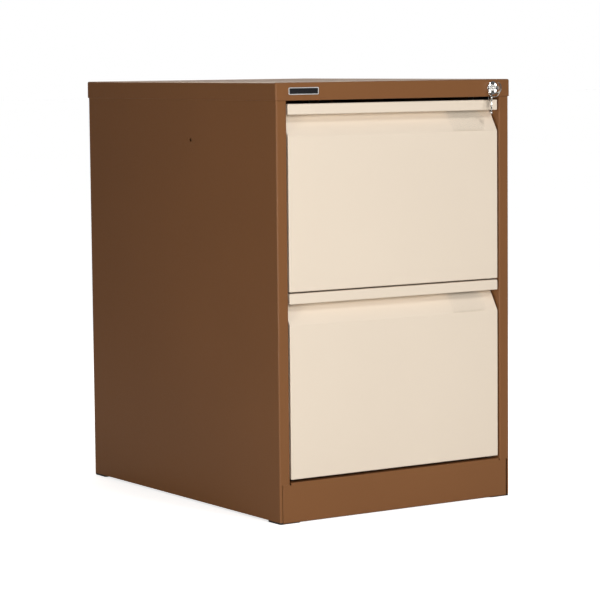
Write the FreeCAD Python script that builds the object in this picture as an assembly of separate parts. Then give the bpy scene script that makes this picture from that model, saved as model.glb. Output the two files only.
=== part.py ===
"""Two-drawer steel filing cabinet, modelled as an assembly of separate pieces, in millimetres.

A folded-sheet carcass (side panels with folded front stiles, back, base, plinth and a pressed lid) carries two
full-extension drawers on three-member ball slides. A quarter-turn lock in the lid's front drives a lock bar that
rises in front of a catch on each drawer. A key is in the lock, and a spare key hangs from it on a ring.

Frame: +Z up, -Y is the front, +X is to the right of someone facing the front. The origin is on the floor, under the
centre of the whole object's bounding box. Inside this file Y is measured from the lid's front face; every piece is
moved by Y_SHIFT when it is written.
"""
import FreeCAD, Part
import math
import os

V = FreeCAD.Vector

# ---------------------------------------------------------------- driving dimensions
WIDTH, DEPTH, HEIGHT = 470.0, 622.0, 711.0   # over the lid and the feet
T = 1.0                                      # carcass sheet
LID_OVER = 1.5                               # lid stands proud of the body all round
SKIRT = 29.0                                 # height of the lid's skirt
FOOT_H = 3.0                                 # glide feet below the side panels and base
PLINTH_Z0 = 0.8                              # the plinth hangs almost to the floor
STILE_W = 20.0                               # folded front flange of each side panel
STILE_RETURN = 25.0                          # its return into the cabinet
SEAM_X = 229.3                               # where the side's bend stops, beside the plinth
PLINTH_X = 227.9                             # half the plinth's length, leaving a seam beside the bend
PLINTH_TOP = 66.3
STILE_BOTTOM = 64.3
LINK_HOLE_R, LINK_HOLE_Y, LINK_HOLE_Z = 3.0, 267.0, 614.3

FRONT_H = 301.5                              # one drawer front
FRONT_HALF = 210.7
LOWER_Z, UPPER_Z = 71.0, 375.0               # underside of each drawer front
FACE_Y = 2.3                                 # drawer face, just behind the stiles
PAN_D = 25.0                                 # depth of the folded drawer front
KINK_Z, LIP_Z, SLOPE_D = 249.5, 284.3, 21.0  # finger recess below the lip
TS = 0.9                                     # drawer sheet

TRAY_HALF = 200.5
TRAY_Y0, TRAY_Y1 = 28.3, 588.0
TRAY_Z = 12.0                                # tray floor above the drawer front's underside
TRAY_TOP = 262.0
RAIL_Z = 60.0                                # slide centre above the drawer front's underside
RAIL_Y0, RAIL_Y1 = 32.0, 582.0
RAIL_WALL = 213.2                            # face that the outer members are fixed to
TRAVEL = 540.0                               # drawer extension

LOCK_X, LOCK_Z = 198.0, 696.5
PIN_R = 6.0                                  # eccentric of the lock cam, equal to the bar's lift
KEY_BOW_R, KEY_BOW_Y = 9.6, -14.4
RING_R, RING_WIRE = 9.0, 0.58
HANG = math.radians(34.0)                    # the ring faces this way, turned about +Z

X_BODY = WIDTH / 2 - LID_OVER                # 233.5
Y_FRONT, Y_BACK = LID_OVER, DEPTH - LID_OVER


# ---------------------------------------------------------------- helpers
def box(x0, x1, y0, y1, z0, z1):
    return Part.makeBox(x1 - x0, y1 - y0, z1 - z0, V(x0, y0, z0))


def cyl(axis, c, r, a, b):
    """A cylinder along axis from a to b; c is its centre in the other two coordinates, in X, Y, Z order."""
    p = {"x": V(a, c[0], c[1]), "y": V(c[0], a, c[1]), "z": V(c[0], c[1], a)}[axis]
    d = {"x": V(1, 0, 0), "y": V(0, 1, 0), "z": V(0, 0, 1)}[axis]
    return Part.makeCylinder(r, b - a, p, d)


def place(plane, a, b, h):
    return {"xy": V(a, b, h), "yz": V(h, a, b), "xz": V(a, h, b)}[plane]


def extrude(face, plane, length):
    d = {"xy": V(0, 0, length), "yz": V(length, 0, 0), "xz": V(0, length, 0)}[plane]
    return face.extrude(d)


def prism(plane, pts, h0, h1):
    vs = [place(plane, a, b, h0) for a, b in pts]
    return extrude(Part.Face(Part.makePolygon(vs + [vs[0]])), plane, h1 - h0)


def folded(plane, pts, t, r_in, h0, h1):
    """A folded strip of sheet: pts is the sheet's middle line in the plane, h0 to h1 its length across the plane."""
    rc = r_in + t / 2
    n = len(pts)
    seg = []
    for i in range(n - 1):
        dx, dy = pts[i + 1][0] - pts[i][0], pts[i + 1][1] - pts[i][1]
        l = math.hypot(dx, dy)
        seg.append(((dx / l, dy / l), l))
    left, right = [], []      # edges, as (kind, points)

    def off(p, d, s):
        return (p[0] - d[1] * s * t / 2, p[1] + d[0] * s * t / 2)

    start = pts[0]
    for i in range(n - 1):
        d = seg[i][0]
        if i < n - 2:
            e = seg[i + 1][0]
            cross = d[0] * e[1] - d[1] * e[0]
            ang = math.atan2(cross, d[0] * e[0] + d[1] * e[1])
            tan = rc * math.tan(abs(ang) / 2)
            end = (pts[i + 1][0] - d[0] * tan, pts[i + 1][1] - d[1] * tan)
            nxt = (pts[i + 1][0] + e[0] * tan, pts[i + 1][1] + e[1] * tan)
            s = 1 if cross > 0 else -1
            centre = (end[0] - d[1] * s * rc, end[1] + d[0] * s * rc)
            m = (pts[i + 1][0] - centre[0], pts[i + 1][1] - centre[1])
            ml = math.hypot(*m)
            m = (m[0] / ml, m[1] / ml)
        else:
            end = pts[-1]
        for side, out in ((1, left), (-1, right)):
            out.append(("line", off(start, d, side), off(end, d, side)))
            if i < n - 2:
                r = rc - side * s * t / 2
                out.append(("arc", off(end, d, side), (centre[0] + m[0] * r, centre[1] + m[1] * r), off(nxt, e, side)))
        if i < n - 2:
            start = nxt
    p3 = lambda q: place(plane, q[0], q[1], h0)
    edges = []
    for e in left:
        edges.append(Part.LineSegment(p3(e[1]), p3(e[2])).toShape() if e[0] == "line"
                     else Part.Arc(p3(e[1]), p3(e[2]), p3(e[3])).toShape())
    edges.append(Part.LineSegment(p3(left[-1][-1]), p3(right[-1][-1])).toShape())
    for e in reversed(right):
        edges.append(Part.LineSegment(p3(e[2]), p3(e[1])).toShape() if e[0] == "line"
                     else Part.Arc(p3(e[3]), p3(e[2]), p3(e[1])).toShape())
    edges.append(Part.LineSegment(p3(right[0][1]), p3(left[0][1])).toShape())
    return extrude(Part.Face(Part.Wire(edges)), plane, h1 - h0)


def fillet(shape, r, pick, label=""):
    chosen = [e for e in shape.Edges if pick(e)]
    if not chosen:
        print("no edges to round on", label)
        return shape
    try:
        out = shape.makeFillet(r, chosen)
        if out.isValid() and out.Volume > 0:
            return out.Solids[0] if len(out.Solids) == 1 else out
    except Exception as err:
        print("rounding failed on", label, err)
        return shape
    print("rounding gave a bad shape on", label)
    return shape


def all_at(e, k, v, tol=0.01):
    """Every end of edge e has coordinate k (0, 1, 2) equal to v."""
    return all(abs((p.Point.x, p.Point.y, p.Point.z)[k] - v) < tol for p in e.Vertexes)


def along(e, k):
    a, b = e.Vertexes[0].Point, e.Vertexes[-1].Point
    d = (b - a)
    c = [abs(d.x), abs(d.y), abs(d.z)]
    return c[k] > 0.99 * d.Length > 0


def mirror(shape):
    return shape.mirror(V(0, 0, 0), V(1, 0, 0))


def offset_polygon(pts, t):
    """The polygon inset by t, for points listed clockwise seen with the first axis right and the second up."""
    n = len(pts)
    lines = []
    for i in range(n):
        a, b = pts[i], pts[(i + 1) % n]
        dx, dy = b[0] - a[0], b[1] - a[1]
        l = math.hypot(dx, dy)
        nx, ny = dy / l, -dx / l
        lines.append(((a[0] + nx * t, a[1] + ny * t), (dx / l, dy / l)))
    out = []
    for i in range(n):
        (p, d), (q, e) = lines[i - 1], lines[i]
        det = d[0] * -e[1] + e[0] * d[1]
        k = ((q[0] - p[0]) * -e[1] + e[0] * (q[1] - p[1])) / det
        out.append((p[0] + d[0] * k, p[1] + d[1] * k))
    return out


parts = {}


# ---------------------------------------------------------------- carcass
def side_panel():
    """The left side panel: back flange, side, rounded front corner, stile and the stile's return, in one folded sheet."""
    h = T / 2
    x = -X_BODY + h
    s = folded("xy", [(-X_BODY + 16, Y_BACK - h), (x, Y_BACK - h), (x, Y_FRONT + h),
                      (-X_BODY + STILE_W - h, Y_FRONT + h), (-X_BODY + STILE_W - h, Y_FRONT + STILE_RETURN)],
               T, 2.0, FOOT_H, HEIGHT - T - 1.2)
    s = s.fuse(box(-X_BODY + 0.3, -201, 34, 617, FOOT_H, FOOT_H + T))
    s = s.cut(box(-SEAM_X, -200, 0, 33.9, 0, STILE_BOTTOM))
    s = s.cut(cyl("x", (LINK_HOLE_Y, LINK_HOLE_Z), LINK_HOLE_R, -X_BODY - 1, -X_BODY + 3))
    s = s.cut(cyl("z", (-214, 597), 5.0, 0, 6))
    return s.removeSplitter()


left = side_panel()
parts["left_side_panel"] = left
parts["right_side_panel"] = mirror(left)

parts["back_panel"] = box(-X_BODY + T + 2.1, X_BODY - T - 2.1, Y_BACK - 2 * T, Y_BACK - T, FOOT_H + T, HEIGHT - T - 1.2)
base = folded("xz", [(-205, FOOT_H + 1.5 * T), (205, FOOT_H + 1.5 * T)], T, 1, 34, 614)
for yy in (190, 324, 458):          # pressed stiffening ribs across the base
    base = base.fuse(box(-180, 180, yy - 9, yy + 9, FOOT_H + 2 * T, FOOT_H + 2 * T + 3)).cut(box(-179, 179, yy - 8, yy + 8, FOOT_H, FOOT_H + 2 * T + 2))
parts["base_panel"] = base.removeSplitter()

# the plinth: a shallow pressed pan with rounded edges, open at the back
def pan(x, y0, y1, z0, z1, r):
    return fillet(box(-x, x, y0, y1, z0, z1), r, lambda e: not all_at(e, 1, y1) and not along(e, 1), "plinth")


pl = pan(PLINTH_X, Y_FRONT, 30.0, PLINTH_Z0, PLINTH_TOP, 2.0)
pl = pl.cut(pan(PLINTH_X - T, Y_FRONT + T, 34.0, PLINTH_Z0 + T, PLINTH_TOP - T, 1.0))
for s in (-1, 1):
    a, b = sorted((s * (PLINTH_X - T - 0.01), s * 230))
    pl = pl.cut(box(a, b, 12.0, 32.0, 0, 70))          # the end returns are short
    a, b = sorted((s * 211.8, s * 230))
    pl = pl.cut(box(a, b, 0, 32, STILE_BOTTOM - 0.1, 70))
    a, b = sorted((s * 211.6, s * 213.4))
    pl = pl.cut(box(a, b, 0, 12, STILE_BOTTOM - 1.8, 70))
    pl = pl.cut(cyl("z", (s * 214, 20), 5.0, 0, 6))
parts["plinth"] = pl.removeSplitter()

hx = WIDTH / 2
lid = box(-hx, hx, 0, DEPTH, HEIGHT - SKIRT, HEIGHT)
lid = fillet(lid, 3.2, lambda e: along(e, 2), "lid corners")
lid = fillet(lid, 3.0, lambda e: all_at(e, 2, HEIGHT), "lid top")
inner = box(-hx + T, hx - T, T, DEPTH - T, HEIGHT - SKIRT - 5, HEIGHT - T)
inner = fillet(inner, 2.2, lambda e: along(e, 2), "lid inner corners")
inner = fillet(inner, 2.0, lambda e: all_at(e, 2, HEIGHT - T), "lid inner top")
lid = lid.cut(inner)
lid = lid.fuse(box(-211.5, 211.5, 0.4, 14, HEIGHT - SKIRT, HEIGHT - SKIRT + T))
lid = fillet(lid, 0.9, lambda e: all_at(e, 2, HEIGHT - SKIRT) and all_at(e, 1, 0) and along(e, 0), "fascia lower edge")
lid = lid.cut(cyl("y", (LOCK_X, LOCK_Z), 9.6, -1, 5))
parts["top_lid"] = lid.removeSplitter()


def upright(y0, y1):
    """A channel up the inside of the left wall, open towards the wall, with slide fixing holes."""
    x_in, x_out = -RAIL_WALL - T / 2, -X_BODY + T
    s = folded("xy", [(x_out, y0 + T / 2), (x_in, y0 + T / 2), (x_in, y1 - T / 2), (x_out, y1 - T / 2)], T, 1.2, 8, 682)
    for z0 in (LOWER_Z, UPPER_Z):
        for dz in (90, 120, 150, 180, 210):
            s = s.cut(cyl("x", ((y0 + y1) / 2, z0 + dz), 2.6, -216, -210))
        s = s.cut(cyl("x", ((y0 + y1) / 2, z0 + RAIL_Z), 2.0, -216, -210))
    return s.removeSplitter()


for name, (y0, y1) in {"front_uprights": (30.5, 69.5), "rear_uprights": (543, 583)}.items():
    u = upright(y0, y1)
    parts[name] = Part.makeCompound([u, mirror(u)])
UP_Y = (50.0, 563.0)

badge = box(-211.0, -153.5, -1.4, 0, 691.1, 702.9)
badge = fillet(badge, 2.2, lambda e: along(e, 1), "badge corners")
badge = badge.cut(fillet(box(-209.6, -154.9, -2, -0.9, 692.5, 701.5), 1.0, lambda e: along(e, 1), "badge field"))
parts["name_badge"] = badge

feet = []
for x, y in ((-214, 20), (214, 20), (-214, 597), (214, 597)):
    x0, x1 = sorted((math.copysign(X_BODY - 0.4, x), math.copysign(194.0, x)))
    y0, y1 = (Y_FRONT + 0.4, 40.0) if y < 100 else (582.0, Y_BACK - 0.4)
    f = box(x0, x1, y0, y1, 0, FOOT_H)
    f = fillet(f, 2.6, lambda e: along(e, 2), "foot corners")
    f = fillet(f, 0.4, lambda e: all_at(e, 2, 0), "foot")
    if y < 100:                                        # a thin pad under the plinth, thicker beside and behind it
        u0, u1 = sorted((math.copysign(PLINTH_X + 0.3, x), math.copysign(180.0, x)))
        f = f.cut(box(u0, u1, 0, 30.3, PLINTH_Z0, 5))
    top = PLINTH_Z0 if y < 100 else FOOT_H
    feet.append(f.fuse(cyl("z", (x, y), 4.95, top - 0.5, 10)).removeSplitter())
parts["glide_feet"] = Part.makeCompound(feet)


# ---------------------------------------------------------------- slides
# u runs from the upright towards the drawer, v is up from the slide's centre
def channel(u0, u1, v_out, t, web_at_low_u, lip):
    pts = []
    half = v_out - t / 2
    if web_at_low_u:
        w, e = u0 + t / 2, u1
    else:
        w, e = u1 - t / 2, u0
    pts = [(e, -half), (w, -half), (w, half), (e, half)]
    if lip:
        q = e - t / 2
        pts = [(q, -half + lip), (q, -half), (w, -half), (w, half), (q, half), (q, half - lip)]
    return pts


def rail_solid(side, zc, pts, t, y0, y1):
    """side -1 is the left of the cabinet."""
    q = [(-RAIL_WALL + u, zc + v) for u, v in pts]
    s = folded("xz", q, t, 0.6, y0, y1)
    return s if side < 0 else mirror(s)


RT = 1.2
OUTER = channel(0, 9.5, 22.85, RT, True, 2.4)
MIDDLE = channel(2.2, 11.0, 17.6, RT, True, 0)
INNER = channel(4.6, 12.7, 12.3, RT, False, 0)
BALL = 1.9
N_BALLS = 6
CAGE_Y0, CAGE_Y1 = 200.0, 430.0


def cage(side, zc, pts, t, u_ball, v_ball):
    c = rail_solid(side, zc, pts, t, CAGE_Y0, CAGE_Y1)
    balls = []
    for i in range(N_BALLS):
        y = CAGE_Y0 + 15 + i * (CAGE_Y1 - CAGE_Y0 - 30) / (N_BALLS - 1)
        for v in (-v_ball, v_ball):
            x = side * (RAIL_WALL - u_ball)
            c = c.cut(Part.makeCylinder(2.05, 3, V(x, y, zc + v - 1.5)))
            balls.append(Part.makeSphere(BALL, V(x, y, zc + v)))
    return c, balls


rivets = []
buffers = []
for lvl, z0 in (("upper", UPPER_Z), ("lower", LOWER_Z)):
    zc = z0 + RAIL_Z
    oc, ob, ic, ib, tr = [], [], [], [], []
    for sname, s in (("left", -1), ("right", 1)):
        outer = rail_solid(s, zc, OUTER, RT, RAIL_Y0, RAIL_Y1)
        inner_r = rail_solid(s, zc, INNER, RT, RAIL_Y0, 577)
        for y in UP_Y:
            outer = outer.cut(cyl("x", (y, zc), 2.0, *sorted((s * 210, s * 214))))
            body = cyl("x", (y, zc), 2.0, *sorted((s * (RAIL_WALL - RT), s * (RAIL_WALL + T))))
            head = cyl("x", (y, zc), 4.2, *sorted((s * (RAIL_WALL - RT - 0.7), s * (RAIL_WALL - RT))))
            tail = cyl("x", (y, zc), 3.4, *sorted((s * (RAIL_WALL + T), s * (RAIL_WALL + T + 1.2))))
            rivets.append(body.fuse([head, tail]).removeSplitter())
        for y in (60.0, 300.0, 540.0):
            inner_r = inner_r.cut(cyl("x", (y, zc), 2.0, *sorted((s * 200, s * 203))))
            body = cyl("x", (y, zc), 2.0, *sorted((s * (TRAY_HALF - TS), s * (TRAY_HALF + RT))))
            head = cyl("x", (y, zc), 4.0, *sorted((s * (TRAY_HALF + RT), s * (TRAY_HALF + RT + 1.0))))
            tail = cyl("x", (y, zc), 3.6, *sorted((s * (TRAY_HALF - TS - 1.0), s * (TRAY_HALF - TS))))
            tr.append(body.fuse([head, tail]).removeSplitter())
        parts[f"{lvl}_{sname}_outer_rail"] = outer.removeSplitter()
        parts[f"{lvl}_{sname}_middle_rail"] = rail_solid(s, zc, MIDDLE, RT, RAIL_Y0, 577)
        parts[f"{lvl}_{sname}_inner_rail"] = inner_r.removeSplitter()
        c, b = cage(s, zc, [(8.0, -19.6), (1.7, -19.6), (1.7, 19.6), (8.0, 19.6)], 0.5, 5.2, 19.62)
        oc.append(c)
        ob += b
        c, b = cage(s, zc, [(10.4, -14.35), (4.0, -14.35), (4.0, 14.35), (10.4, 14.35)], 0.5, 8.0, 14.35)
        ic.append(c)
        ib += b
        buffers.append(box(*sorted((s * (RAIL_WALL - RT), s * (RAIL_WALL - 9))), 578, 582, zc - 9, zc + 9))
    parts[f"{lvl}_outer_ball_cages"] = Part.makeCompound(oc)
    parts[f"{lvl}_outer_balls"] = Part.makeCompound(ob)
    parts[f"{lvl}_inner_ball_cages"] = Part.makeCompound(ic)
    parts[f"{lvl}_inner_balls"] = Part.makeCompound(ib)
    parts[f"{lvl}_tray_rivets"] = Part.makeCompound(tr)
parts["rail_rivets"] = Part.makeCompound(rivets)
parts["rail_end_buffers"] = Part.makeCompound(buffers)


# ---------------------------------------------------------------- drawers
def slope_y(z):
    return SLOPE_D * (z - KINK_Z) / (LIP_Z - KINK_Z)


def front_skin(z0):
    """The drawer front: one sheet folded into a lip, a finger recess, a flat face and returns all round."""
    prof = [(0, 0), (0, KINK_Z), (SLOPE_D, LIP_Z), (0, LIP_Z), (0, FRONT_H), (PAN_D, FRONT_H), (PAN_D, 0)]
    out = prism("yz", [(FACE_Y + y, z0 + z) for y, z in prof], -FRONT_HALF, FRONT_HALF)
    back = FACE_Y + PAN_D
    out = fillet(out, 1.7, lambda e: not all_at(e, 1, back) and
                 not (all_at(e, 1, FACE_Y + SLOPE_D) and all_at(e, 2, z0 + LIP_Z)), "drawer front")
    ins = offset_polygon(prof, TS)
    ins[-2] = (PAN_D + 2, ins[-2][1])
    ins[-1] = (PAN_D + 2, ins[-1][1])
    hollow = prism("yz", [(FACE_Y + y, z0 + z) for y, z in ins], -FRONT_HALF + TS, FRONT_HALF - TS)
    hollow = fillet(hollow, 0.8, lambda e: all_at(e, 1, FACE_Y + TS), "drawer front inside")
    return out.cut(hollow).removeSplitter()


def label_holder(z0):
    """A clear wedge-shaped pocket on the slope of the finger recess, open at its top."""
    out = [(1.35, 251.6), (-0.6, 251.6), (-0.2, 267.0), (5.2, 275.2), (13.4, 283.6), (20.0, 283.6)]
    # the back lies 0.15 in front of the slope
    out[0] = (slope_y(251.6) - 0.15, 251.6)
    out[-1] = (slope_y(283.6) - 0.15, 283.6)
    body = prism("yz", [(FACE_Y + y, z0 + z) for y, z in out], 117.0, 183.0)
    ins = offset_polygon(out, 0.45)
    top = [i for i, p in enumerate(ins) if p[1] > 280]
    for i in top:
        ins[i] = (ins[i][0] + (0.9 if i == top[0] else 0.95), 284.6)
    ins = [(y, z + (0.4 if z < 256 else 0)) for y, z in ins]
    hollow = prism("yz", [(FACE_Y + y, z0 + z) for y, z in ins], 117.9, 182.1)
    return body.cut(hollow).removeSplitter()


def tray(z0):
    h = TS / 2
    zb, zt = z0 + TRAY_Z + h, z0 + TRAY_TOP - h
    x = TRAY_HALF - h
    s = folded("xz", [(-188, zt), (-x, zt), (-x, zb), (x, zb), (x, zt), (188, zt)], TS, 1.2, TRAY_Y0, TRAY_Y1)
    for y in (60.0, 300.0, 540.0):
        for sg in (-1, 1):
            s = s.cut(cyl("x", (y, z0 + RAIL_Z), 2.0, *sorted((sg * 198, sg * 203))))
    return s.removeSplitter()


for lvl, z0 in (("upper", UPPER_Z), ("lower", LOWER_Z)):
    parts[f"{lvl}_front_skin"] = front_skin(z0)
    y = FACE_Y + PAN_D
    parts[f"{lvl}_front_liner"] = box(-210.2, 210.2, y, y + 1.0, z0 + 0.6, z0 + FRONT_H - 0.6)
    parts[f"{lvl}_tray"] = tray(z0)
    q = TRAY_HALF - TS - 1.25
    bk = folded("yz", [(TRAY_Y1 - 14, z0 + TRAY_Z + 1.5 * TS + 0.02), (TRAY_Y1 - TS / 2, z0 + TRAY_Z + 1.5 * TS + 0.02),
                       (TRAY_Y1 - TS / 2, z0 + TRAY_TOP - 1.5 * TS - 0.02), (TRAY_Y1 - 10, z0 + TRAY_TOP - 1.5 * TS - 0.02)],
                TS, 0.8, -q, q)
    parts[f"{lvl}_tray_back"] = bk
    rails = [folded("xz", [(sg * 189.0, z0 + TRAY_TOP + 0.6), (sg * 196.0, z0 + TRAY_TOP + 0.6)], 1.2, 1.0, 40, 574).fuse(
        box(*sorted((sg * 189.0, sg * 190.2)), 40, 574, z0 + TRAY_TOP + 1.0, z0 + TRAY_TOP + 9.0)).removeSplitter() for sg in (-1, 1)]
    parts[f"{lvl}_file_rails"] = Part.makeCompound(rails)
    parts[f"{lvl}_label_holder"] = label_holder(z0)
    c = z0 + 110
    parts[f"{lvl}_lock_catch"] = box(200.5, 202.0, 79, 99, c, c + 12).fuse(box(200.5, 210.0, 79, 80.6, c, c + 12)).removeSplitter()


# ---------------------------------------------------------------- lock
L = (LOCK_X, LOCK_Z)
housing = cyl("y", L, 11.0, -2.5, 0)
housing = fillet(housing, 0.9, lambda e: all_at(e, 1, -2.5), "lock flange")
housing = housing.fuse(cyl("y", L, 9.5, -0.5, 22)).cut(cyl("y", L, 6.9, -4, 23))
parts["lock_housing"] = housing.removeSplitter()

hexa = [(LOCK_X + 13.2 * math.cos(math.radians(60 * i)), LOCK_Z + 13.2 * math.sin(math.radians(60 * i))) for i in range(6)]
nut = prism("xz", hexa, 1.05, 4.5).cut(cyl("y", L, 9.52, 0, 6))
parts["lock_nut"] = nut

plug = cyl("y", L, 6.8, -2.9, 24.5)
plug = fillet(plug, 0.4, lambda e: all_at(e, 1, -2.9), "plug")
plug = plug.cut(box(LOCK_X - 1.15, LOCK_X + 1.15, -4, 16, LOCK_Z - 4.1, LOCK_Z + 4.1))
parts["lock_plug"] = plug
cam = cyl("y", L, 9.0, 24.5, 27.0).fuse(cyl("y", (LOCK_X - PIN_R, LOCK_Z), 2.0, 26.5, 31.2)).cut(cyl("y", L, 1.6, 24, 28))
parts["lock_cam"] = cam.removeSplitter()
parts["lock_cam_screw"] = cyl("y", L, 1.55, 24.5, 27.2).fuse(cyl("y", L, 2.6, 27.05, 28.2)).removeSplitter()

arm = box(183.5, 217, 28.6, 30.2, 690, 702.4).fuse(box(215.4, 217, 28.6, 90, 690, 702.4)).fuse(box(215.4, 217, 74, 90, 90, 691))
slot_z1 = LOCK_Z + 2.2 + 0.22 * PIN_R + 0.15
slot = box(LOCK_X - PIN_R - 2.4, LOCK_X + 3.4, 28, 31, LOCK_Z - 2.3, slot_z1)
arm = arm.cut(slot).removeSplitter()
parts["lock_bar"] = arm
hooks = []
for z0 in (UPPER_Z, LOWER_Z):
    c = z0 + 110
    hooks.append(box(204, 215.4, 75.0, 77.4, c - 12, c - 1.3))
parts["lock_hooks"] = Part.makeCompound(hooks)
guides = []
for z in (250.0, 560.0):
    g = box(213.4, X_BODY - T, 71.6, 92.4, z, z + 9).cut(box(215.1, 217.3, 73.7, 90.3, z - 1, z + 10))
    guides.append(g)
parts["lock_bar_guides"] = Part.makeCompound(guides)


# ---------------------------------------------------------------- keys and ring
def key():
    """A flat key about its bow's hole: blade along -Z, width along Y, thickness along X."""
    th = 1.0
    bow = cyl("x", (0, 0), KEY_BOW_R, -th, th)
    neck = prism("yz", [(-4.9, -7.6), (-4.9, -11.3), (4.9, -11.3), (4.9, -7.6)], -th, th)
    blade = prism("yz", [(-3.7, -11.0), (-3.7, -12.8), (-2.2, -13.8), (-3.4, -15.2), (-1.6, -16.8), (-2.6, -18.3),
                         (-1.9, -19.8), (-3.2, -21.4), (-1.5, -23.1), (-2.9, -24.8), (-2.9, -25.8), (-0.6, -28.0),
                         (1.6, -28.0), (3.7, -25.9), (3.7, -11.0)], -th, th)
    k = bow.fuse([neck, blade]).removeSplitter()
    k = k.cut(cyl("x", (0, 0), 3.5, -3, 3))
    for a, b in ((-th - 1, -th + 0.45), (th - 0.45, th + 1)):
        k = k.cut(box(a, b, 0.3, 1.7, -32, -11.6))
    return k.removeSplitter()


inserted = key()
inserted.rotate(V(0, 0, 0), V(1, 0, 0), 90)
inserted.translate(V(LOCK_X, KEY_BOW_Y, LOCK_Z))
parts["key_in_lock"] = inserted

e_dir = V(math.cos(HANG), -math.sin(HANG), 0)
n_dir = V(math.sin(HANG), math.cos(HANG), 0)
hole = V(LOCK_X, KEY_BOW_Y, LOCK_Z)
ring_c = hole + e_dir * -5.7 + V(0, 0, -6.0)
parts["key_ring"] = Part.makeTorus(RING_R, RING_WIRE, ring_c, n_dir)
hang_at = ring_c + e_dir * (-RING_R * math.sin(math.radians(30))) + V(0, 0, -RING_R * math.cos(math.radians(30)))
spare = key()
spare.rotate(V(0, 0, 0), V(0, 0, 1), -math.degrees(HANG))
spare.translate(hang_at + V(0, 0, -2.0))
parts["spare_key"] = spare

# ---------------------------------------------------------------- write
lo = min(p.BoundBox.YMin for p in parts.values())
hi = max(p.BoundBox.YMax for p in parts.values())
Y_SHIFT = -(DEPTH + (KEY_BOW_Y - KEY_BOW_R)) / 2
os.makedirs("parts", exist_ok=True)
for old in os.listdir("parts"):
    if old.endswith(".step"):
        os.remove(os.path.join("parts", old))
total = 0
for name, shape in parts.items():
    shape = shape.copy()
    shape.translate(V(0, Y_SHIFT, 0))
    solids = shape.Solids
    bad = [i for i, s in enumerate(solids) if not s.isValid() or s.Volume <= 0]
    if bad or not solids:
        print("BAD SOLID", name, bad, len(solids))
    out = solids[0] if len(solids) == 1 else Part.makeCompound(solids)
    out.exportStep(f"parts/{name}.step")
    total += 1
print("nodes", total, "front reach", round(lo, 3), "back", round(hi, 3), "shift", round(Y_SHIFT, 3))
print("ring centre", ring_c + V(0, Y_SHIFT, 0), "spare key hangs at", hang_at + V(0, Y_SHIFT, 0))
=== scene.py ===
"""Looks for the two-drawer steel filing cabinet: materials, light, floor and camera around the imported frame."""
import math
import bmesh
import bpy
from mathutils import Matrix, Vector

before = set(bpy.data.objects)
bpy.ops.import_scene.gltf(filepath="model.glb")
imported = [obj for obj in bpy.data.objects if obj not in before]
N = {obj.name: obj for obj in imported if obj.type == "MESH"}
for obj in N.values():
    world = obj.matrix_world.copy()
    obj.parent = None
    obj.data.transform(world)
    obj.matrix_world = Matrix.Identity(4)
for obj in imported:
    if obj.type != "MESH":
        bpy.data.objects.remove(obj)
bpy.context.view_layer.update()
scene = bpy.context.scene

# ---------------------------------------------------------------- camera
A, E, R = math.radians(33.383), math.radians(5.504), math.radians(-0.555)
F_PX = 2501.2
CAM = Vector((-2.3934, -3.6508 + 0.0120, 0.7478))
fwd = Vector((math.sin(A) * math.cos(E), math.cos(A) * math.cos(E), -math.sin(E)))
right = Vector((math.cos(A), -math.sin(A), 0))
up = right.cross(fwd)
right2 = math.cos(R) * right + math.sin(R) * up
up2 = -math.sin(R) * right + math.cos(R) * up
cam_data = bpy.data.cameras.new("camera")
cam = bpy.data.objects.new("camera", cam_data)
scene.collection.objects.link(cam)
cam_data.sensor_width = 36.0
cam_data.lens = F_PX * 36.0 / 600.0
cam_data.clip_start, cam_data.clip_end = 0.1, 200.0
m = Matrix((right2, up2, -fwd)).transposed().to_4x4()
m.translation = CAM
cam.matrix_world = m
scene.camera = cam
scene.view_settings.view_transform = "Standard"
scene.view_settings.look = "None"


# ---------------------------------------------------------------- node helpers
def new_mat(name):
    mat = bpy.data.materials.new(name)
    mat.use_nodes = True
    nt = mat.node_tree
    nt.nodes.clear()
    out = nt.nodes.new("ShaderNodeOutputMaterial")
    bsdf = nt.nodes.new("ShaderNodeBsdfPrincipled")
    nt.links.new(bsdf.outputs[0], out.inputs[0])
    return mat, nt, bsdf


def coords(nt, scale=(1, 1, 1)):
    tc = nt.nodes.new("ShaderNodeTexCoord")
    mp = nt.nodes.new("ShaderNodeMapping")
    mp.inputs["Scale"].default_value = scale
    nt.links.new(tc.outputs["Object"], mp.inputs[0])
    return mp.outputs[0]


def noise(nt, vec, scale, detail=3.0, rough=0.5):
    n = nt.nodes.new("ShaderNodeTexNoise")
    n.inputs["Scale"].default_value = scale
    n.inputs["Detail"].default_value = detail
    n.inputs["Roughness"].default_value = rough
    nt.links.new(vec, n.inputs["Vector"])
    return n.outputs["Fac"]


def ramp(nt, fac, lo, hi, a, b):
    r = nt.nodes.new("ShaderNodeValToRGB")
    r.color_ramp.elements[0].position, r.color_ramp.elements[1].position = lo, hi
    r.color_ramp.elements[0].color = (*a, 1) if len(a) == 3 else a
    r.color_ramp.elements[1].color = (*b, 1) if len(b) == 3 else b
    nt.links.new(fac, r.inputs[0])
    return r.outputs[0]


def rng(nt, fac, lo, hi, a, b):
    r = nt.nodes.new("ShaderNodeMapRange")
    for i, v in enumerate((lo, hi, a, b)):
        r.inputs[i + 1].default_value = v
    nt.links.new(fac, r.inputs[0])
    return r.outputs[0]


def bump(nt, bsdf, height, distance, strength=1.0):
    b = nt.nodes.new("ShaderNodeBump")
    b.inputs["Strength"].default_value = strength
    b.inputs["Distance"].default_value = distance
    nt.links.new(height, b.inputs["Height"])
    nt.links.new(b.outputs[0], bsdf.inputs["Normal"])
    return b


def srgb(r, g, b):
    f = lambda c: (c / 255 / 12.92) if c / 255 <= 0.04045 else ((c / 255 + 0.055) / 1.055) ** 2.4
    return (f(r), f(g), f(b))


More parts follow.
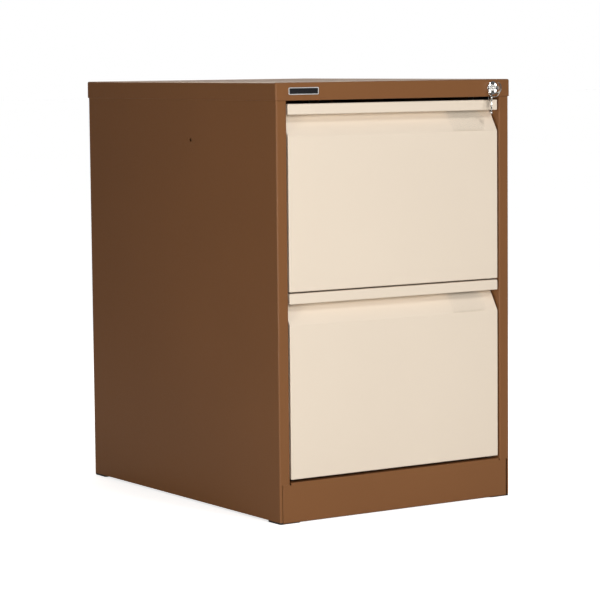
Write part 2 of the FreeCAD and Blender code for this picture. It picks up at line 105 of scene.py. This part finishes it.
def powder(name, colour, rough=0.42, spread=0.05, peel=0.00006, spec=0.3):
    """Powder coat: fine orange peel, a slow drift of shade, and small changes of gloss."""
    mat, nt, bsdf = new_mat(name)
    v = coords(nt)
    slow = noise(nt, v, 2.3, 2)
    lo = tuple(c * (1 - spread) for c in colour)
    hi = tuple(min(1.0, c * (1 + spread)) for c in colour)
    nt.links.new(ramp(nt, slow, 0.3, 0.7, lo, hi), bsdf.inputs["Base Color"])
    mid = noise(nt, v, 900.0, 2, 0.6)
    fine = noise(nt, v, 260.0, 4, 0.55)
    nt.links.new(rng(nt, fine, 0.3, 0.7, rough - 0.05, rough + 0.06), bsdf.inputs["Roughness"])
    mix = nt.nodes.new("ShaderNodeMath")
    mix.operation = "MULTIPLY_ADD"
    nt.links.new(mid, mix.inputs[0])
    mix.inputs[1].default_value = 0.35
    nt.links.new(fine, mix.inputs[2])
    bump(nt, bsdf, mix.outputs[0], peel, 0.6)
    bsdf.inputs["IOR"].default_value = 1.5
    bsdf.inputs["Specular IOR Level"].default_value = spec
    return mat


def steel(name, colour, rough=0.3, axis="y", metal=1.0, spangle=0.0):
    """Plated steel with fine drawing marks along one axis and faint cloudiness."""
    mat, nt, bsdf = new_mat(name)
    s = {"y": (420, 6, 420), "z": (420, 420, 6), "x": (6, 420, 420), "": (60, 60, 60)}[axis]
    streak = noise(nt, coords(nt, s), 1.0, 3)
    cloud = noise(nt, coords(nt), 26.0, 3)
    lo, hi = tuple(c * 0.86 for c in colour), tuple(min(1, c * 1.08) for c in colour)
    nt.links.new(ramp(nt, cloud, 0.3, 0.72, lo, hi), bsdf.inputs["Base Color"])
    bsdf.inputs["Metallic"].default_value = metal
    nt.links.new(rng(nt, streak, 0.25, 0.75, rough - 0.08, rough + 0.12), bsdf.inputs["Roughness"])
    bump(nt, bsdf, streak, 0.00002, 0.5)
    return mat


def plastic(name, colour, rough=0.5, grain=500.0, depth=0.00005):
    mat, nt, bsdf = new_mat(name)
    v = coords(nt)
    g = noise(nt, v, grain, 3)
    s = noise(nt, v, 14.0, 3)
    lo, hi = tuple(c * 0.8 for c in colour), tuple(min(1, c * 1.25) for c in colour)
    nt.links.new(ramp(nt, s, 0.3, 0.7, lo, hi), bsdf.inputs["Base Color"])
    nt.links.new(rng(nt, g, 0.3, 0.7, rough - 0.08, rough + 0.1), bsdf.inputs["Roughness"])
    bump(nt, bsdf, g, depth, 0.6)
    return mat


def clear(name, alpha, tint):
    """Clear moulded plastic with fine scuffs."""
    mat, nt, bsdf = new_mat(name)
    v = coords(nt)
    scuff = noise(nt, coords(nt, (900, 60, 900)), 1.0, 3)
    soft = noise(nt, v, 30.0, 2)
    nt.links.new(ramp(nt, soft, 0.3, 0.7, tuple(c * 0.94 for c in tint), tint), bsdf.inputs["Base Color"])
    nt.links.new(rng(nt, scuff, 0.35, 0.75, 0.06, 0.16), bsdf.inputs["Roughness"])
    bsdf.inputs["IOR"].default_value = 1.49
    bsdf.inputs["Alpha"].default_value = alpha
    bump(nt, bsdf, scuff, 0.00001, 0.4)
    return mat


BROWN = (0.225, 0.096, 0.036)
CREAM = (0.83, 0.715, 0.585)
M = {
    "brown": powder("brown_powder_coat", BROWN, 0.34, 0.045, spec=0.26),
    "cream": powder("cream_powder_coat", CREAM, 0.33, 0.02, spec=0.42),
    "cream_inside": powder("cream_powder_coat_inside", CREAM, 0.46, 0.03),
    "zinc": steel("zinc_plate", (0.56, 0.57, 0.58), 0.34, "y"),
    "zinc_up": steel("zinc_plate_upright", (0.50, 0.51, 0.52), 0.38, "z"),
    "balls": steel("bearing_steel", (0.70, 0.70, 0.72), 0.14, ""),
    "cage": steel("cage_steel", (0.44, 0.44, 0.45), 0.42, "y"),
    "chrome": steel("lock_chrome", (0.82, 0.82, 0.83), 0.11, "y"),
    "plug": steel("plug_face", (0.40, 0.39, 0.38), 0.20, "x"),
    "nickel": steel("key_nickel", (0.86, 0.85, 0.82), 0.14, "z"),
    "rivet": steel("rivet_steel", (0.50, 0.50, 0.50), 0.36, ""),
    "black": plastic("black_plastic", (0.022, 0.022, 0.022), 0.5),
    "rubber": plastic("black_rubber", (0.018, 0.018, 0.018), 0.72),
    "badge": steel("badge_rim", (0.86, 0.86, 0.86), 0.24, "x", 0.45),
    "clear": clear("clear_holder", 0.006, (0.90, 0.82, 0.62)),
    # edge copy: its darker tint is painted shade, its higher alpha the longer path through the plastic
    "clear_edge_dense_and_painted_shade": clear("clear_holder_edge_dense_and_painted_shade", 0.50, (0.46, 0.40, 0.27)),
    "badge_field": plastic("badge_field", (0.012, 0.012, 0.014), 0.32, 700.0, 0.00002),
}


def use(mat, *names):
    for n in names:
        me = N[n].data
        me.materials.clear()
        me.materials.append(M[mat])


use("brown", "top_lid", "left_side_panel", "right_side_panel", "back_panel", "base_panel", "plinth")
use("zinc_up", "front_uprights", "rear_uprights", "lock_bar", "lock_hooks")
use("black", "glide_feet", "lock_bar_guides")
use("rubber", "rail_end_buffers")
use("rivet", "rail_rivets", "lock_cam_screw")
use("badge", "name_badge")
use("chrome", "lock_housing")
use("plug", "lock_plug")
use("nickel", "key_in_lock", "spare_key", "key_ring")
use("zinc", "lock_nut", "lock_cam")
for lvl in ("upper", "lower"):
    use("cream", f"{lvl}_front_skin")
    use("cream_inside", f"{lvl}_front_liner", f"{lvl}_tray", f"{lvl}_tray_back")
    use("zinc", f"{lvl}_file_rails", f"{lvl}_lock_catch")
    use("clear", f"{lvl}_label_holder")
    use("rivet", f"{lvl}_tray_rivets")
    for side in ("left", "right"):
        use("zinc", *(f"{lvl}_{side}_{k}_rail" for k in ("outer", "middle", "inner")))
    use("cage", f"{lvl}_outer_ball_cages", f"{lvl}_inner_ball_cages")
    use("balls", f"{lvl}_outer_balls", f"{lvl}_inner_balls")

# the badge's sunk field is black, its rim bright
me = N["name_badge"].data
me.materials.append(M["badge_field"])
front = min(v.co.y for v in me.vertices)
for p in me.polygons:
    if p.normal.y < -0.9 and p.center.y > front + 0.0002:
        p.material_index = 1
# the bottom faces of the clear holders get a denser copy of the plastic: the higher alpha stands for the longer
# path through it, and the darker tint is painted shade for the dark line that refraction draws along the edge
for lvl in ("upper", "lower"):
    me = N[f"{lvl}_label_holder"].data
    me.materials.append(M["clear_edge_dense_and_painted_shade"])
    low = min(v.co.z for v in me.vertices)
    for p in me.polygons:
        if abs(p.normal.z) > 0.9 and p.center.z < low + 0.003:
            p.material_index = 1

# ---------------------------------------------------------------- floor, light
bpy.ops.mesh.primitive_plane_add(size=80, location=(0, 0, -0.0002))
floor = bpy.context.object
floor.name = "floor"
fm, nt, bsdf = new_mat("pale_floor")
bsdf.inputs["Roughness"].default_value = 0.9
bsdf.inputs["Specular IOR Level"].default_value = 0.1
v = coords(nt)
nt.links.new(ramp(nt, noise(nt, v, 0.6, 2), 0.3, 0.7, (0.90, 0.90, 0.895), (0.92, 0.92, 0.915)), bsdf.inputs["Base Color"])
dim = nt.nodes.new("ShaderNodeBsdfDiffuse")          # what the floor throws back at the object
dim.inputs[0].default_value = (0.46, 0.46, 0.455, 1)
glow = nt.nodes.new("ShaderNodeEmission")            # lifts the pale floor to a studio white
glow.inputs[1].default_value = 0.72
both = nt.nodes.new("ShaderNodeAddShader")
nt.links.new(bsdf.outputs[0], both.inputs[0])
nt.links.new(glow.outputs[0], both.inputs[1])
lp = nt.nodes.new("ShaderNodeLightPath")
mx = nt.nodes.new("ShaderNodeMixShader")
nt.links.new(lp.outputs["Is Camera Ray"], mx.inputs[0])
nt.links.new(dim.outputs[0], mx.inputs[1])
nt.links.new(both.outputs[0], mx.inputs[2])
nt.links.new(mx.outputs[0], next(n for n in nt.nodes if n.type == "OUTPUT_MATERIAL").inputs[0])
floor.data.materials.append(fm)


def aim(o, azimuth, elevation, distance, target):
    """azimuth is where the light stands, seen from above: 0 is in front of the object, 90 to its right."""
    a, e = math.radians(azimuth), math.radians(elevation)
    src = Vector((math.sin(a) * math.cos(e), -math.cos(a) * math.cos(e), math.sin(e)))
    o.location = Vector(target) + src * distance
    o.rotation_mode = "QUATERNION"
    o.rotation_quaternion = src.to_track_quat("Z", "Y")
    scene.collection.objects.link(o)
    return o


def sun(name, azimuth, elevation, strength, angle):
    d = bpy.data.lights.new(name, "SUN")
    d.energy, d.angle = strength, math.radians(angle)
    return aim(bpy.data.objects.new(name, d), azimuth, elevation, 5.0, (0, 0, 0))


def softbox(name, azimuth, elevation, distance, width, height, watts, target=(0, -0.2, 0.4), tint=(1, 1, 1)):
    d = bpy.data.lights.new(name, "AREA")
    d.color = tint
    d.shape, d.size, d.size_y, d.energy = "RECTANGLE", width, height, watts
    o = aim(bpy.data.objects.new(name, d), azimuth, elevation, distance, target)
    o.visible_camera = False
    return o


sun("key", 15, 44, 0.85, 14)
softbox("front", -10, 15, 2.6, 1.7, 0.8, 32.2).visible_glossy = False
softbox("spark", -31, 7, 2.6, 0.5, 0.5, 4)
softbox("right", 98, 12, 2.4, 1.2, 1.0, 9, (0.2, 0, 0.35))
softbox("side", -66, 0, 2.0, 0.45, 0.9, 23, (-0.23, -0.22, 0.10), (1, 0.96, 0.88))
softbox("rim", 158, 38, 2.0, 1.8, 0.9, 22, (0, 0, 0.7), (1, 0.90, 0.76))

# the studio around it: dim, with a bright wall behind
world = bpy.data.worlds.new("studio")
world.use_nodes = True
wt = world.node_tree
wt.nodes.clear()
w_out = wt.nodes.new("ShaderNodeOutputWorld")


def toward(azimuth, elevation, inner, outer, strength):
    """1 x strength inside the inner angle about a direction, falling to 0 at the outer angle."""
    a, e = math.radians(azimuth), math.radians(elevation)
    tc = wt.nodes.new("ShaderNodeTexCoord")
    dot = wt.nodes.new("ShaderNodeVectorMath")
    dot.operation = "DOT_PRODUCT"
    wt.links.new(tc.outputs["Generated"], dot.inputs[0])
    dot.inputs[1].default_value = (math.sin(a) * math.cos(e), -math.cos(a) * math.cos(e), math.sin(e))
    mr = wt.nodes.new("ShaderNodeMapRange")
    mr.interpolation_type = "SMOOTHSTEP"
    mr.inputs[1].default_value, mr.inputs[2].default_value = math.cos(math.radians(outer)), math.cos(math.radians(inner))
    mr.inputs[3].default_value, mr.inputs[4].default_value = 0.0, strength
    wt.links.new(dot.outputs["Value"], mr.inputs[0])
    return mr.outputs[0]


def plus(a, b):
    n = wt.nodes.new("ShaderNodeMath")
    n.operation = "ADD"
    for i, x in enumerate((a, b)):
        if isinstance(x, float):
            n.inputs[i].default_value = x
        else:
            wt.links.new(x, n.inputs[i])
    return n.outputs[0]


light = wt.nodes.new("ShaderNodeBackground")
light.inputs[0].default_value = (1, 1, 1, 1)
wt.links.new(plus(0.11, toward(148, 8, 12, 40, 0.24)), light.inputs[1])
seen = wt.nodes.new("ShaderNodeBackground")
seen.inputs[0].default_value = (1, 1, 1, 1)
seen.inputs[1].default_value = 1.0
path = wt.nodes.new("ShaderNodeLightPath")
mix = wt.nodes.new("ShaderNodeMixShader")
wt.links.new(path.outputs["Is Camera Ray"], mix.inputs[0])
wt.links.new(light.outputs[0], mix.inputs[1])
wt.links.new(seen.outputs[0], mix.inputs[2])
wt.links.new(mix.outputs[0], w_out.inputs[0])
scene.world = world
